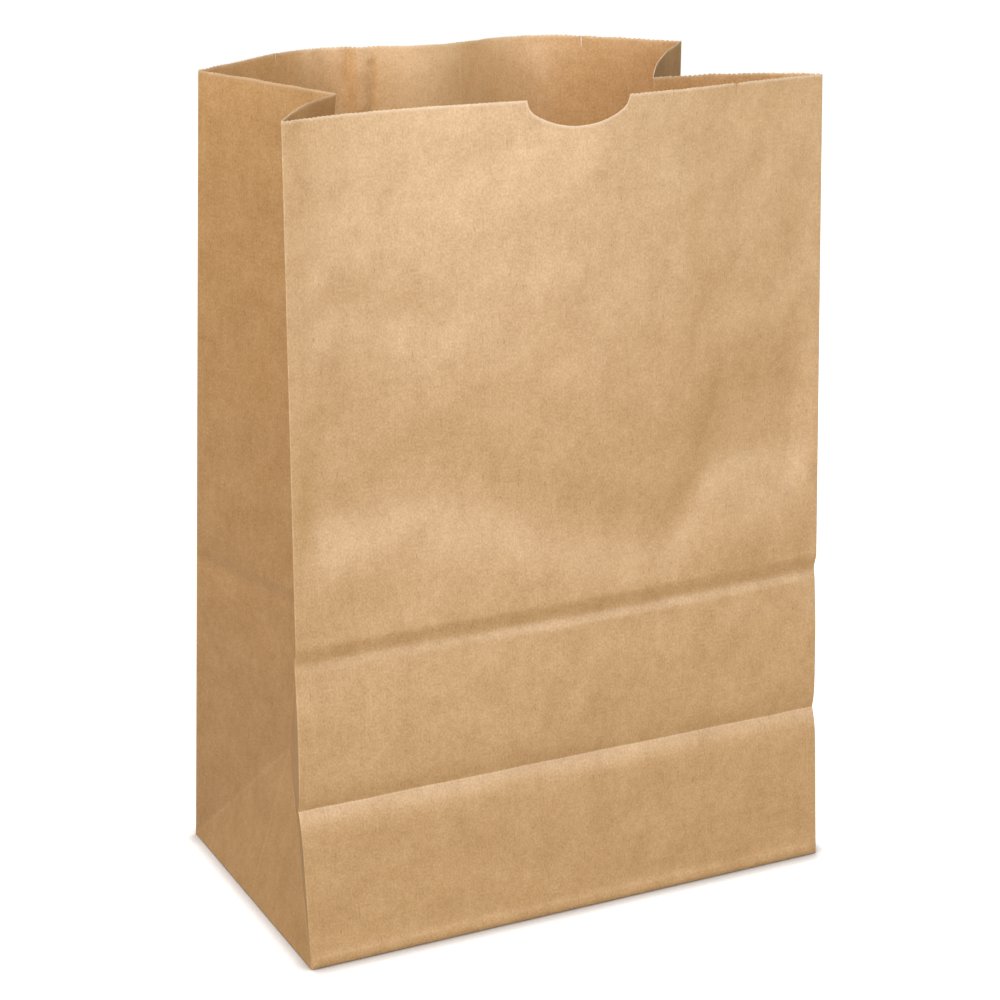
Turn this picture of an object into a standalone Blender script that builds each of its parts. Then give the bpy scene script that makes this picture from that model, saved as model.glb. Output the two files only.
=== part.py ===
"""A brown kraft paper grocery bag with folded-in sides and a flat folded bottom, standing open and empty.

It is made the way such bags are. One sheet is lapped and glued into a flat tube with folded-in sides, a
toothed knife cuts the tube off, and its lower end is folded in and glued as a flat bottom.

Metres, +Z up, front towards -Y. The origin is the middle of the bottom, on the surface that the bag stands
on. Left and right are as seen from the front. A height on the flat sheet runs from the bottom folds up.
"""

import math

import bmesh
import bpy
import numpy as np

# The sheet and its folds
WIDTH = 0.305  # front and back panels, between their corner folds
DEPTH = 0.175  # side panels, which fold inwards down the middle
HEIGHT = 0.4375  # every panel, from the bottom fold to the cut edge
PAPER = 0.00015  # one ply
GLUE = 0.00004  # film of glue between two plies

# The long seam, down the inside of the back panel
SEAM_LAP = 0.042  # how far the two edges of the sheet overlap
SEAM_PLACE = 0.174  # free edge of the inner ply, from the left back corner
SEAM_EASE = 0.060  # length in which the inner ply comes out to the line of the panel
SEAM_BARE = 0.005  # unglued margin beside the glue
SEAM_OPEN = 0.027  # unglued stretch below the cut edge

# The bottom, folded in from all four sides
BOTTOM_LAP = 0.025  # how far the back flap laps over the front one

# The cut edge
TOOTH_PITCH = 0.00254
TOOTH_DEPTH = 0.0006
NOTCH_WIDTH = 0.054  # thumb notch, in the front panel only
NOTCH_PLACE = 0.1567  # its middle, from the left corner
NOTCH_DEPTH = 0.014
NOTCH_BASE_RADIUS = 0.043
NOTCH_CORNER_RADIUS = 0.009
SLIT_DEPTH = 0.0065  # short knife cuts down from the edge
SLIT_WIDTH = 0.0004
SLITS = (("front", 0.249), ("back", 0.0585), ("back", 0.252))  # panel, and place from its left corner

# The mark that the folded-up bottom's edge pressed into the panels while the bag was stored flat
IMPRINT_WIDTH = 0.012
IMPRINT_DEPTH = 0.0008
IMPRINT_DROP = 0.005  # from the pressing edge down to the middle of the mark

# How far the folds have opened
CREASE_SET_IN = 0.0037  # front crease, behind the line of the front bottom fold
CREASE_SHIFT = -0.0027  # the same crease, sideways
MOUTH_SHIFT = 0.0033  # top of the left front corner fold, to the right of its foot
MOUTH_LEAN = 0.0194  # the same point, behind its foot
FRONT_TURN = math.radians(1.4)  # directions of the mouth's straight runs, counterclockwise from +X
LEFT_FOLD_IN = math.radians(50.2)
LEFT_FOLD_OUT = math.radians(121.4)
RIGHT_FOLD_IN = math.radians(146.6)
RIGHT_FOLD_OUT = math.radians(50.6)
# Sideways waves of the mouth's runs, as the sizes of one, two, three and more half waves
FRONT_WAVE = (-0.0039, 0.0067, 0.0029)
LEFT_WAVE = (0.0036,)
RIGHT_WAVE = (0.0006,)
RIGHT_BACK_WAVE = (-0.0035,)
BACK_WAVE_SHAPE = (1.0, 0.05, 0.225, 0.0, -0.12)  # shares of a bow that takes up the panel's width
# How much higher than on straight rulings the cut edge stands at the tops of the folds
RISE = {"left_front": -0.0011, "right_front": -0.0023, "left_crease": 0.0015, "right_crease": -0.0002,
        "left_back": 0.0003, "right_back": -0.0002}

# How finely the surface is divided
CELLS_PER_HALF_SIDE = 4
CELLS_PER_PANEL = 14
UPPER_ROWS = 4
TOP_ROW = 0.022  # height of the last row, deeper than the thumb notch
LEAST_STEP = 0.0001  # two points of the cut edge are never closer than this
FOLD_CLEAR = 0.0006  # or than this to a fold, where the inside of a sharp fold needs room
NOTCH_STEPS = 8  # facets of each arc of the thumb notch
CUTTER_REACH = 0.02  # how far a cutter reaches to each side of its panel
WELD = 1e-6

KRAFT = (0.584, 0.371, 0.184, 1.0)  # linear colour of the brown paper
KRAFT_ROUGHNESS = 0.85

HALF_SIDE = DEPTH / 2
FLAP = HALF_SIDE + BOTTOM_LAP / 2  # length of the bottom flaps


def vector(*coordinates):
    return np.array(coordinates)


def wave(t, sizes):
    """Sum of half waves at t, a share from 0 to 1 of a run's length."""
    return sum(size * np.sin((k + 1) * np.pi * t) for k, size in enumerate(sizes))


def run_length(chord, sizes):
    """Length of a waved run with this chord."""
    t = np.linspace(0.0, 1.0, 201)
    return np.hypot(np.diff(t * chord), np.diff(wave(t, sizes))).sum()


def halve_to(wanted, length_at, low, high):
    """The value between low and high at which the growing function length_at reaches wanted."""
    for _ in range(40):
        middle = (low + high) / 2
        if length_at(middle) < wanted:
            low = middle
        else:
            high = middle
    return (low + high) / 2


def chord_of(length, sizes):
    """Chord of a waved run that is this long."""
    return halve_to(length, lambda chord: run_length(chord, sizes), length / 2, length)


def step_from(point, direction, distance):
    return point + distance * vector(math.cos(direction), math.sin(direction))


def run_between(start, end, t, sizes):
    """Plan points at t along a waved run, whose waves stand to the left of its direction."""
    along = (end - start) / np.linalg.norm(end - start)
    aside = vector(-along[1], along[0])
    return start + t * (end - start) + wave(t, sizes) * aside


# Feet of the corner folds, and of the creases down the middle of the side panels
FOOT = {
    "left_front": vector(-WIDTH / 2, -HALF_SIDE, 0.0),
    "right_front": vector(WIDTH / 2, -HALF_SIDE, 0.0),
    "left_back": vector(-WIDTH / 2, HALF_SIDE, 0.0),
    "right_back": vector(WIDTH / 2, HALF_SIDE, 0.0),
    "left_crease": vector(-WIDTH / 2, 0.0, 0.0),
    "right_crease": vector(WIDTH / 2, 0.0, 0.0),
}
# The front crease, half a side panel up, sits behind the front bottom fold. Each side crease starts at the
# same height on the sheet, and it stands as far in as lets the half side panel keep its width.
SIDE_SET_IN = math.sqrt(HALF_SIDE**2 - (HALF_SIDE - CREASE_SET_IN) ** 2)
CREASE_RISE = math.sqrt(HALF_SIDE**2 - CREASE_SET_IN**2 - CREASE_SHIFT**2)
APEX_RISE = math.sqrt(HALF_SIDE**2 - SIDE_SET_IN**2)
CREASE = {
    "left_front": FOOT["left_front"] + vector(CREASE_SHIFT, CREASE_SET_IN, CREASE_RISE),
    "right_front": FOOT["right_front"] + vector(CREASE_SHIFT, CREASE_SET_IN, CREASE_RISE),
    "left_crease": FOOT["left_crease"] + vector(SIDE_SET_IN, 0.0, APEX_RISE),
    "right_crease": FOOT["right_crease"] + vector(-SIDE_SET_IN, 0.0, APEX_RISE),
}


def mouth_plan():
    """Plan places of the tops of the folds: each run of the mouth keeps the width of its panel."""
    top = {"left_front": FOOT["left_front"][:2] + vector(MOUTH_SHIFT, MOUTH_LEAN)}
    runs = (
        ("left_front", "right_front", FRONT_TURN, WIDTH, FRONT_WAVE),
        ("left_front", "left_crease", LEFT_FOLD_IN, HALF_SIDE, LEFT_WAVE),
        ("left_crease", "left_back", LEFT_FOLD_OUT, HALF_SIDE, ()),
        ("right_front", "right_crease", RIGHT_FOLD_IN, HALF_SIDE, RIGHT_WAVE),
        ("right_crease", "right_back", RIGHT_FOLD_OUT, HALF_SIDE, RIGHT_BACK_WAVE),
    )
    for start, end, direction, length, sizes in runs:
        chord = chord_of(length, sizes) if sizes else length
        top[end] = step_from(top[start], direction, chord)
    return top


TOP = mouth_plan()


def back_wave():
    """The back panel bows out until its cut edge has the panel's full width between its two folds."""
    chord = np.linalg.norm(TOP["right_back"] - TOP["left_back"])
    shape = np.array(BACK_WAVE_SHAPE)
    bow = halve_to(WIDTH, lambda size: run_length(chord, size * shape), 0.0, WIDTH / 2)
    return tuple(bow * shape)


# Each panel between two folds: its first and second fold, its width, and the waves of its cut edge
PANELS = {
    "front": ("left_front", "right_front", WIDTH, FRONT_WAVE),
    "back": ("left_back", "right_back", WIDTH, back_wave()),
    "left_outer": ("left_front", "left_crease", HALF_SIDE, LEFT_WAVE),
    "left_inner": ("left_back", "left_crease", HALF_SIDE, ()),
    "right_outer": ("right_front", "right_crease", HALF_SIDE, RIGHT_WAVE),
    "right_inner": ("right_back", "right_crease", HALF_SIDE, RIGHT_BACK_WAVE),
}


def between(points, first, second, t):
    return points[first] + t * (points[second] - points[first])


def folds_crossed(panel, t):
    """Heights on the sheet of the folds that the vertical line at t crosses, and their places."""
    first, second, _, _ = PANELS[panel]
    heights = [0.0]
    places = [between(FOOT, first, second, t)]
    if first in ("left_front", "right_front") and second.endswith("crease"):
        heights += [t * HALF_SIDE, HALF_SIDE]
        places += [FOOT[first] + t * (CREASE[second] - FOOT[first]), between(CREASE, first, second, t)]
    elif second.endswith("crease"):
        heights.append(t * HALF_SIDE)
        places.append(FOOT[first] + t * (CREASE[second] - FOOT[first]))
    elif panel == "front":
        heights.append(HALF_SIDE)
        places.append(between(CREASE, first, second, t))
    return heights, places


def imprint(panel, height):
    """Inward shift of the paper in the pressed mark, a shallow V right across each panel but the back one."""
    if panel == "back":
        return np.zeros(3)
    middle = DEPTH - IMPRINT_DROP
    share = max(0.0, 1.0 - abs(height - middle) / (IMPRINT_WIDTH / 2))
    if panel == "front":
        inward = vector(0.0, 1.0, 0.0)
    else:
        inward = vector(1.0 if panel.startswith("left") else -1.0, 0.0, 0.0)
    return share * IMPRINT_DEPTH * inward


def vertical_line(panel, t, heights):
    """Points at these heights on the sheet, up the line at t across a panel. It is straight between folds.

    The top of the line stands at t on the mouth's run, as high as the paper above the last fold reaches.
    """
    first, second, _, sizes = PANELS[panel]
    fold_heights, places = folds_crossed(panel, t)
    plan = run_between(TOP[first], TOP[second], t, sizes)
    reach = HEIGHT - fold_heights[-1]
    aside = np.linalg.norm(plan - places[-1][:2])
    rise = (1 - t) * RISE[first] + t * RISE[second]
    top = vector(*plan, places[-1][2] + math.sqrt(reach**2 - aside**2) + rise)
    fold_heights.append(HEIGHT)
    places.append(top)
    places = np.array(places)
    above = (places[-1] - places[-2]) / reach
    points = []
    for height in heights:
        if height > HEIGHT:
            point = top + (height - HEIGHT) * above
        else:
            point = np.array([np.interp(height, fold_heights, places[:, k]) for k in range(3)])
        points.append(point + imprint(panel, height))
    return points


def knife(panel, t):
    """Height of the toothed cut at t. The tube is cut flat, so all its plies share one row of teeth."""
    _, _, width, _ = PANELS[panel]
    across = t * width
    if panel.startswith("right"):
        across = WIDTH - across
    return HEIGHT - TOOTH_DEPTH * abs(2 * (across / TOOTH_PITCH % 1.0) - 1)


def tooth_shares(panel, low, high):
    """The shares between low and high of a panel's width at which a tooth's tip or root stands."""
    _, _, width, _ = PANELS[panel]
    offset = WIDTH if panel.startswith("right") else 0.0
    half = TOOTH_PITCH / 2
    numbers = range(-2, int(2 * WIDTH / half))
    turn = -1 if panel.startswith("right") else 1
    shares = sorted(turn * (k * half - offset) / width for k in numbers)
    clear = [(FOLD_CLEAR if end in (0.0, 1.0) else LEAST_STEP) / width for end in (low, high)]
    return [share for share in shares if low + clear[0] < share < high - clear[1]]


def foot_height(panel, t):
    """Where the sheet turns under at a panel's foot, halfway through the ply it turns into.

    The back flap lies outermost, then the front one, then the corner tucks and the side flaps.
    """
    first = PANELS[panel][0]
    if t > 0 and panel not in ("front", "back"):
        plies = 3
    else:
        plies = 0 if first.endswith("back") else 1
    return (plies + 0.5) * PAPER


# The sheet's course round the tube, from its inner free edge to its outer one: panel, and shares of its width
LAP = tuple((SEAM_PLACE - length) / WIDTH for length in (0.0, SEAM_BARE, SEAM_LAP - SEAM_BARE, SEAM_LAP))
COURSE = (
    ("back", LAP[0], LAP[1]),
    ("back", LAP[1], LAP[2]),
    ("back", LAP[2], LAP[3]),
    ("back", LAP[3], 0.0),
    ("left_inner", 0.0, 1.0),
    ("left_outer", 1.0, 0.0),
    ("front", 0.0, 1.0),
    ("right_outer", 0.0, 1.0),
    ("right_inner", 1.0, 0.0),
    ("back", 1.0, LAP[0]),
    ("back", LAP[0], LAP[1]),
    ("back", LAP[1], LAP[2]),
    ("back", LAP[2], LAP[3]),
)


def stations():
    """The sheet's vertical lines: panel, share of its width, length of sheet before, whether cells follow."""
    found = []
    used = 0.0
    for panel, start, end in COURSE:
        width = PANELS[panel][2]
        whole = CELLS_PER_PANEL if width > HALF_SIDE else CELLS_PER_HALF_SIDE
        count = max(1, round(whole * abs(end - start)))
        for k in range(count + 1):
            t = start + (end - start) * k / count
            found.append((panel, t, used + width * abs(t - start), k < count))
        used += width * abs(end - start)
    return found


def rows():
    """Heights on the sheet of the rows of points, with the glue's end and the last row below the cut edge."""
    low = [HALF_SIDE * k / CELLS_PER_HALF_SIDE for k in range(CELLS_PER_HALF_SIDE + 1)]
    middle = DEPTH - IMPRINT_DROP
    mark = [middle - IMPRINT_WIDTH / 2, middle, middle + IMPRINT_WIDTH / 2]
    upper = np.linspace(mark[-1], HEIGHT - SEAM_OPEN, UPPER_ROWS + 1)[1:]
    return low + mark + list(upper) + [HEIGHT - TOP_ROW]


def inset(point, amount):
    """A point of the back panel moved towards the inside of the bag."""
    return point - vector(0.0, amount, 0.0)


def seam_inset(used):
    """How far inside the outer ply the inner one lies: a ply and the glue in the lap, then less and less."""
    ease = min(1.0, max(0.0, (used - SEAM_LAP) / SEAM_EASE))
    return (PAPER + GLUE) * (1 - ease * ease * (3 - 2 * ease))


def add_mesh(name, points, faces, collection):
    mesh = bpy.data.meshes.new(name)
    mesh.from_pydata([tuple(point) for point in points], [], faces)
    mesh.validate()
    mesh.update()
    obj = bpy.data.objects.new(name, mesh)
    collection.objects.link(obj)
    return obj


def add_solidify(obj, thickness):
    """Gives an open surface its wall, inwards from its outer side."""
    wall = obj.modifiers.new("ply", "SOLIDIFY")
    wall.thickness = thickness
    wall.offset = -1.0
    wall.use_even_offset = True


def build_tube(collection):
    """The sheet round the tube, as the outer surface of an open strip, then given the paper's thickness.

    A line where two panels meet is made once. Every cell is cut into triangles along its folds.
    """
    heights = rows()
    points = []
    faces = []
    lines = []
    tops = []
    course = stations()
    for number, (panel, t, used, _) in enumerate(course):
        if number and used - course[number - 1][2] < LEAST_STEP:
            lines.append(lines[-1])
            tops.append(tops[-1])
            continue
        line = vertical_line(panel, t, [foot_height(panel, t)] + heights[1:] + [knife(panel, t)])
        lines.append([len(points) + k for k in range(len(heights))])
        tops.append(len(points) + len(heights))
        points += [inset(point, seam_inset(used)) for point in line]

    for i, (panel, t, used, begins) in enumerate(course):
        if not begins:
            continue
        next_t = course[i + 1][1]
        for j in range(len(heights) - 1):
            a, b = lines[i][j], lines[i + 1][j]
            c, d = lines[i + 1][j + 1], lines[i][j + 1]
            if next_t > t:
                faces += [(a, b, c), (a, c, d)]
            else:
                faces += [(a, b, d), (b, c, d)]
        shares = tooth_shares(panel, min(t, next_t), max(t, next_t))
        if next_t < t:
            shares.reverse()
        edge = [tops[i]]
        for share in shares:
            length = used + abs(share - t) * PANELS[panel][2]
            edge.append(len(points))
            points.append(inset(vertical_line(panel, share, [knife(panel, share)])[0], seam_inset(length)))
        edge.append(tops[i + 1])
        faces += fans(lines[i][-1], lines[i + 1][-1], edge)

    tube = add_mesh("paper_bag", points, faces, collection)
    add_solidify(tube, PAPER)
    return tube


def fans(first, second, edge):
    """Triangles between a cell's two upper points and the toothed edge above them, half from each point."""
    middle = len(edge) // 2
    faces = [(first, edge[k + 1], edge[k]) for k in range(middle)]
    faces.append((first, second, edge[middle]))
    faces += [(second, edge[k + 1], edge[k]) for k in range(middle, len(edge) - 1)]
    return faces


def build_glue(collection):
    """The film that joins the two plies of the long seam from the foot up, sunk a little into both."""
    sunk = GLUE / 4
    points = []
    faces = []
    for t in (LAP[1], LAP[2]):
        heights = [foot_height("back", t)] + rows()[1:-1]
        points += [inset(point, PAPER - sunk) for point in vertical_line("back", t, heights)]
    for a in range(len(heights) - 1):
        b = a + len(heights)
        faces += [(a, b, a + 1), (b, b + 1, a + 1)]
    film = add_mesh("seam_glue", points, faces, collection)
    add_solidify(film, GLUE + 2 * sunk)
    return film


def toothed(start, end):
    """Plan points of a toothed free edge, with the teeth cut to the right of its direction."""
    length = np.linalg.norm(end - start)
    count = int(length / TOOTH_PITCH)
    along = (end - start) / length
    aside = vector(along[1], -along[0])
    margin = (length - count * TOOTH_PITCH) / 2
    points = [start]
    for k in range(2 * count + 1):
        root = TOOTH_DEPTH if k % 2 else 0.0
        points.append(start + (margin + k * TOOTH_PITCH / 2) * along + root * aside)
    points.append(end)
    return [tuple(point) for point in points]


def extrude_outline(name, outline, thickness, location, collection, upright=False):
    """A filled flat outline, as thick as given about its own plane, lying or turned up to face the front."""
    curve = bpy.data.curves.new(name, "CURVE")
    curve.dimensions = "2D"
    curve.fill_mode = "BOTH"
    curve.extrude = thickness / 2
    spline = curve.splines.new("POLY")
    spline.points.add(len(outline) - 1)
    for point, (x, y) in zip(spline.points, outline):
        point.co = (x, y, 0.0, 1.0)
    spline.use_cyclic_u = True
    guide = bpy.data.objects.new(name + "_outline", curve)
    guide.location = location
    guide.rotation_euler = (math.pi / 2 if upright else 0.0, 0.0, 0.0)
    collection.objects.link(guide)
    bpy.context.view_layer.update()
    graph = bpy.context.evaluated_depsgraph_get()
    mesh = bpy.data.meshes.new_from_object(guide.evaluated_get(graph))
    solid = bpy.data.objects.new(name, mesh)
    solid.matrix_world = guide.matrix_world.copy()
    collection.objects.link(solid)
    bpy.data.objects.remove(guide)
    weld_caps(mesh)
    return solid


def weld_caps(mesh):
    """A filled curve's caps are loose: joins them to its sides."""
    shape = bmesh.new()
    shape.from_mesh(mesh)
    bmesh.ops.remove_doubles(shape, verts=shape.verts, dist=WELD)
    bmesh.ops.recalc_face_normals(shape, faces=shape.faces)
    shape.to_mesh(mesh)
    shape.free()


def build_flaps(collection):
    """The folded bottom, from inside out: side flaps, corner tucks, front flap and back flap.

    The tube's end is one flap's length all round. The side flaps fold in whole, and each takes along a
    corner of its neighbours, folded at 45 degrees, so the front and back flaps narrow towards the middle.
    """
    x = WIDTH / 2 - PAPER / 2
    y = HALF_SIDE - PAPER / 2
    tip_x = WIDTH / 2 - FLAP
    tip_y = HALF_SIDE - FLAP
    side = [(-x, -y), (-x, y)] + toothed(vector(-tip_x, y), vector(-tip_x, -y))
    tuck = [(-x, -y), (-tip_x, -y), (-tip_x, -tip_y)]
    far = [(px, -py) for px, py in toothed(vector(tip_x, tip_y), vector(-tip_x, tip_y))]
    long = [(-x, -y), (x, -y)] + far
    plies = [("left_flap", side, 1, 1, 3 * PAPER, PAPER), ("right_flap", side, -1, 1, 3 * PAPER, PAPER)]
    for name, turn_x, turn_y in (("left_front_tuck", 1, 1), ("right_front_tuck", -1, 1),
                                 ("left_back_tuck", 1, -1), ("right_back_tuck", -1, -1)):
        plies.append((name, tuck, turn_x, turn_y, 2 * PAPER, PAPER + GLUE))
    plies.append(("front_flap", long, 1, 1, PAPER, PAPER + GLUE))
    plies.append(("back_flap", long, 1, -1, 0.0, 2 * PAPER + GLUE / 2))
    for name, outline, turn_x, turn_y, low, thickness in plies:
        turned = [(turn_x * px, turn_y * py) for px, py in outline]
        extrude_outline(name, turned, thickness, (0.0, 0.0, low + thickness / 2), collection)


def notch_outline():
    """The thumb notch from the right: up, down a tight corner arc, along the wide base arc, and mirrored.

    The corner circles touch the base circle from inside, and leave the cut edge square to it.
    """
    half = NOTCH_WIDTH / 2
    base = (0.0, NOTCH_BASE_RADIUS - NOTCH_DEPTH)
    reach = NOTCH_BASE_RADIUS - NOTCH_CORNER_RADIUS
    corner_x = half - NOTCH_CORNER_RADIUS
    corner = (corner_x, base[1] - math.sqrt(reach**2 - corner_x**2))
    touch = math.atan2(corner[1] - base[1], corner[0])
    right = [(half, NOTCH_DEPTH)]
    for k in range(NOTCH_STEPS + 1):
        angle = touch * k / NOTCH_STEPS
        right.append((corner[0] + NOTCH_CORNER_RADIUS * math.cos(angle),
                      corner[1] + NOTCH_CORNER_RADIUS * math.sin(angle)))
    for k in range(1, NOTCH_STEPS):
        angle = touch + (-math.pi / 2 - touch) * k / NOTCH_STEPS
        right.append((NOTCH_BASE_RADIUS * math.cos(angle), base[1] + NOTCH_BASE_RADIUS * math.sin(angle)))
    return right + [(0.0, -NOTCH_DEPTH)] + [(-px, py) for px, py in reversed(right)]


def build_cutters(collection):
    """What is cut out of the mouth's edge: the thumb notch and the short slits."""
    edge = vertical_line("front", NOTCH_PLACE / WIDTH, [HEIGHT])[0]
    extrude_outline("thumb_notch", notch_outline(), 2 * CUTTER_REACH, edge, collection, upright=True)
    for number, (panel, place) in enumerate(SLITS):
        edge = vertical_line(panel, place / WIDTH, [HEIGHT])[0]
        half = SLIT_WIDTH / 2
        slit = [(-half, -SLIT_DEPTH), (half, -SLIT_DEPTH), (half, SLIT_DEPTH), (-half, SLIT_DEPTH)]
        extrude_outline(f"slit_{number}", slit, 2 * CUTTER_REACH, edge, collection, upright=True)


def kraft_paper():
    """Unbleached brown paper, matt."""
    material = bpy.data.materials.new("kraft_paper")
    material.use_nodes = True
    shader = material.node_tree.nodes["Principled BSDF"]
    shader.inputs["Base Color"].default_value = KRAFT
    shader.inputs["Roughness"].default_value = KRAFT_ROUGHNESS
    material.diffuse_color = KRAFT
    return material


def new_collection(name):
    collection = bpy.data.collections.new(name)
    bpy.context.scene.collection.children.link(collection)
    return collection


def add_boolean(obj, name, operation, collection):
    """Joins or cuts with every solid of a collection, which are shown as wires and never rendered."""
    for other in collection.objects:
        other.hide_render = True
        other.display_type = "WIRE"
    boolean = obj.modifiers.new(name, "BOOLEAN")
    boolean.operation = operation
    boolean.operand_type = "COLLECTION"
    boolean.collection = collection
    boolean.solver = "EXACT"


def main():
    for obj in list(bpy.data.objects):
        bpy.data.objects.remove(obj, do_unlink=True)
    bag = new_collection("paper_grocery_bag")
    folded = new_collection("folded_bottom")
    cutters = new_collection("mouth_cutters")
    tube = build_tube(bag)
    tube.data.materials.append(kraft_paper())
    build_glue(folded)
    build_flaps(folded)
    build_cutters(cutters)
    add_boolean(tube, "cut the mouth", "DIFFERENCE", cutters)
    add_boolean(tube, "fold in and glue", "UNION", folded)


main()
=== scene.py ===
import math

import bpy
import mathutils
import numpy as np
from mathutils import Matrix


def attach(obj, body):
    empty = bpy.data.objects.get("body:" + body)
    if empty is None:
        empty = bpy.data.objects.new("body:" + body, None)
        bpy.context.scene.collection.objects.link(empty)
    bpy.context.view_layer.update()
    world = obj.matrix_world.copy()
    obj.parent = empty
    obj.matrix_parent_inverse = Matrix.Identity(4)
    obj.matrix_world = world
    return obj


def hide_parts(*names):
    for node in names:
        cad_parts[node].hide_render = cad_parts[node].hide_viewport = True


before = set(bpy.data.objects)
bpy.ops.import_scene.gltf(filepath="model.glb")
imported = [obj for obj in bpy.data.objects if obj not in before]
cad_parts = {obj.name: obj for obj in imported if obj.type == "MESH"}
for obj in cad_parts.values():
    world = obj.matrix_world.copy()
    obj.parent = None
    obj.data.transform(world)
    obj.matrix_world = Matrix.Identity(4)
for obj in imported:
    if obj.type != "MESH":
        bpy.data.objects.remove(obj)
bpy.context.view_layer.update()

# A brown kraft paper grocery bag, standing open and empty. It is one sheet: a tube with a lapped seam down
# its back and side panels folded in down the middle, cut off by a toothed knife, with its lower end folded
# in flat.
#
# Metres, +Z up, front towards -Y, origin in the middle of the bottom. A point of the flat sheet has two
# numbers: its course, the distance round the tube from the seam's inner free edge, and its height above the
# bottom folds. In the bottom flaps the height is negative. Marks and dents are given in millimetres, by u,
# the distance from their panel's first fold, and h, the height. Left and right are as seen from the front.

MM = 0.001

# The sheet, the same sizes as the solid model's
WIDTH = 305 * MM
DEPTH = 175 * MM
HEIGHT = 437.5 * MM
PAPER = 0.15 * MM
GLUE = 0.04 * MM
SEAM_LAP = 42 * MM
SEAM_PLACE = 174 * MM
SEAM_EASE = 60 * MM
BOTTOM_LAP = 25 * MM
HALF_SIDE = DEPTH / 2
FLAP = HALF_SIDE + BOTTOM_LAP / 2

# How high the bottom's plies lie over the back flap, which is the lowest
FRONT_LEVEL = PAPER
TUCK_LEVEL = 2 * PAPER
SIDE_LEVEL = 3 * PAPER
LEVEL_EASE = 4 * MM  # the distance from a fold in which a ply comes to its level
DRAWN_IN = 115 * MM  # how much of each end of a long flap is drawn in

# The cut edge
TOOTH_PITCH = 2.54 * MM
TOOTH_DEPTH = 0.8 * MM
NOTCH_WIDTH = 54 * MM
NOTCH_PLACE = 156.7 * MM
NOTCH_DEPTH = 14 * MM
NOTCH_BASE_RADIUS = 43 * MM
NOTCH_CORNER_RADIUS = 9 * MM
SLIT_DEPTH = 6.5 * MM
SLIT_WIDTH = 0.4 * MM
FUZZ = 0.07 * MM  # how far loose fibres stand out
FUZZ_PITCH = 1.4 * MM
KNIFE_WANDER = 17 * MM  # wavelength of the knife's unevenness

# How a stretch of the edge was cut: by the toothed knife, punched, or slit
SAWN = 1.0
PUNCHED = 0.5
SLIT = 0.0

# How far the folds have opened, and the mouth's runs
CREASE_SET_IN = 3.7 * MM
CREASE_SHIFT = -2.7 * MM
MOUTH_SHIFT = 3.3 * MM
MOUTH_LEAN = 19.4 * MM
FRONT_TURN = math.radians(1.4)
LEFT_FOLD_IN = math.radians(50.2)
LEFT_FOLD_OUT = math.radians(121.4)
RIGHT_FOLD_IN = math.radians(146.6)
RIGHT_FOLD_OUT = math.radians(50.6)
FRONT_WAVE = (-3.9 * MM, 6.7 * MM, 2.9 * MM)
LEFT_WAVE = (3.6 * MM,)
RIGHT_WAVE = (0.6 * MM,)
RIGHT_BACK_WAVE = (-3.5 * MM,)
BACK_WAVE_SHAPE = (1.0, 0.05, 0.225, 0.0, -0.12)
RISE = {"left_front": -1.1 * MM, "right_front": -2.3 * MM, "left_crease": 1.5 * MM,
        "right_crease": -0.2 * MM, "left_back": 0.3 * MM, "right_back": -0.2 * MM}

# What was pressed into the panels while the bag lay flat, in millimetres: depths, and the mark's height
CREASE_DEPTH = 2.2
MARK_DEPTH = 2.2
MARK_LEFT = 165.7
MARK_RIGHT = 168.0
MARK_SIDE = 167.0

# Ridges, and where their height is negative hollows, in millimetres: from and to by (u, h), width, height
FRONT_DENTS = (
    ((250, 191), (305, 190), 12, 0.8),  # lower lip of the wide hollow
    ((28, 345), (36, 343), 7, -0.7),  # small dents at the left, from handling
    ((60, 336), (76, 334), 8, -0.5),
    ((0, 365), (14, 364), 6, -0.8),
    ((138, 304), (150, 303), 9, -0.35),
    ((143, 436), (143, 405), 5, 0.3),  # beside the thumb notch
    ((172, 436), (172, 405), 6, 0.3),
    ((136, 104), (143, 138), 4, 0.25),  # slanting pinches between the mark and the crease
    ((160, 108), (167, 140), 4, 0.25),
    ((219, 372), (214, 295), 8, 0.45),  # below the upright waves
)
FOOT_ROLL = ((0, 0), (305, 0), 5, 1.8)
# Inside the back panel's top, beside the seam
BACK_HOLLOWS = (((111.5, 437), (112, 400), 5, -1.9), ((85, 437), (85, 405), 4, -0.9))
SHARP_WRINKLES = (((104, 437), (104, 417), 1.8, 1.0), ((119.5, 428), (119, 398), 2.0, 1.0))

# How finely the surface is divided
CELL = 3.2 * MM  # columns of the front panel
BACK_CELL = 4.5 * MM  # columns of the back panel
SIDE_CELLS = 28  # of half a side panel, so that its folds at 45 degrees run through the grid's corners
FOLD_STEPS = (0.4 * MM, 1.0 * MM)  # columns and rows beside a fold
FOLD_ROUND = 0.4 * MM  # half the width in which a fold of paper turns
WRINKLE_COLUMNS = np.arange(98, 124, 1.7) * MM  # places across the back panel
SEAM_STEPS = (0.5 * MM, 1.3 * MM)  # columns outside the seam's lap
CREASE_STOPS = (92 * MM, 100 * MM)  # rows above the crease
MARK_BAND = (157 * MM, 178 * MM)  # rows of the pressed mark
MOUTH_ROWS = 45 * MM  # depth of the rows that bend to follow the cut edge
MOUTH_ROW_COUNT = 12
EDGE_STEP = TOOTH_PITCH / 6  # points of the toothed edge
EDGE_MARGIN = 2 * MM  # last whole row, inside the cut edge
FLAP_ROWS = (0.4 * MM, 1 * MM, 4 * MM, 9 * MM, 17 * MM, 28 * MM, 40 * MM, 54 * MM, 68 * MM, 84 * MM)
TUCK_CELL = 6 * MM  # rows of a corner tuck
TUCK_SHARE = 0.13  # of a tuck's row, between its columns

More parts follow.
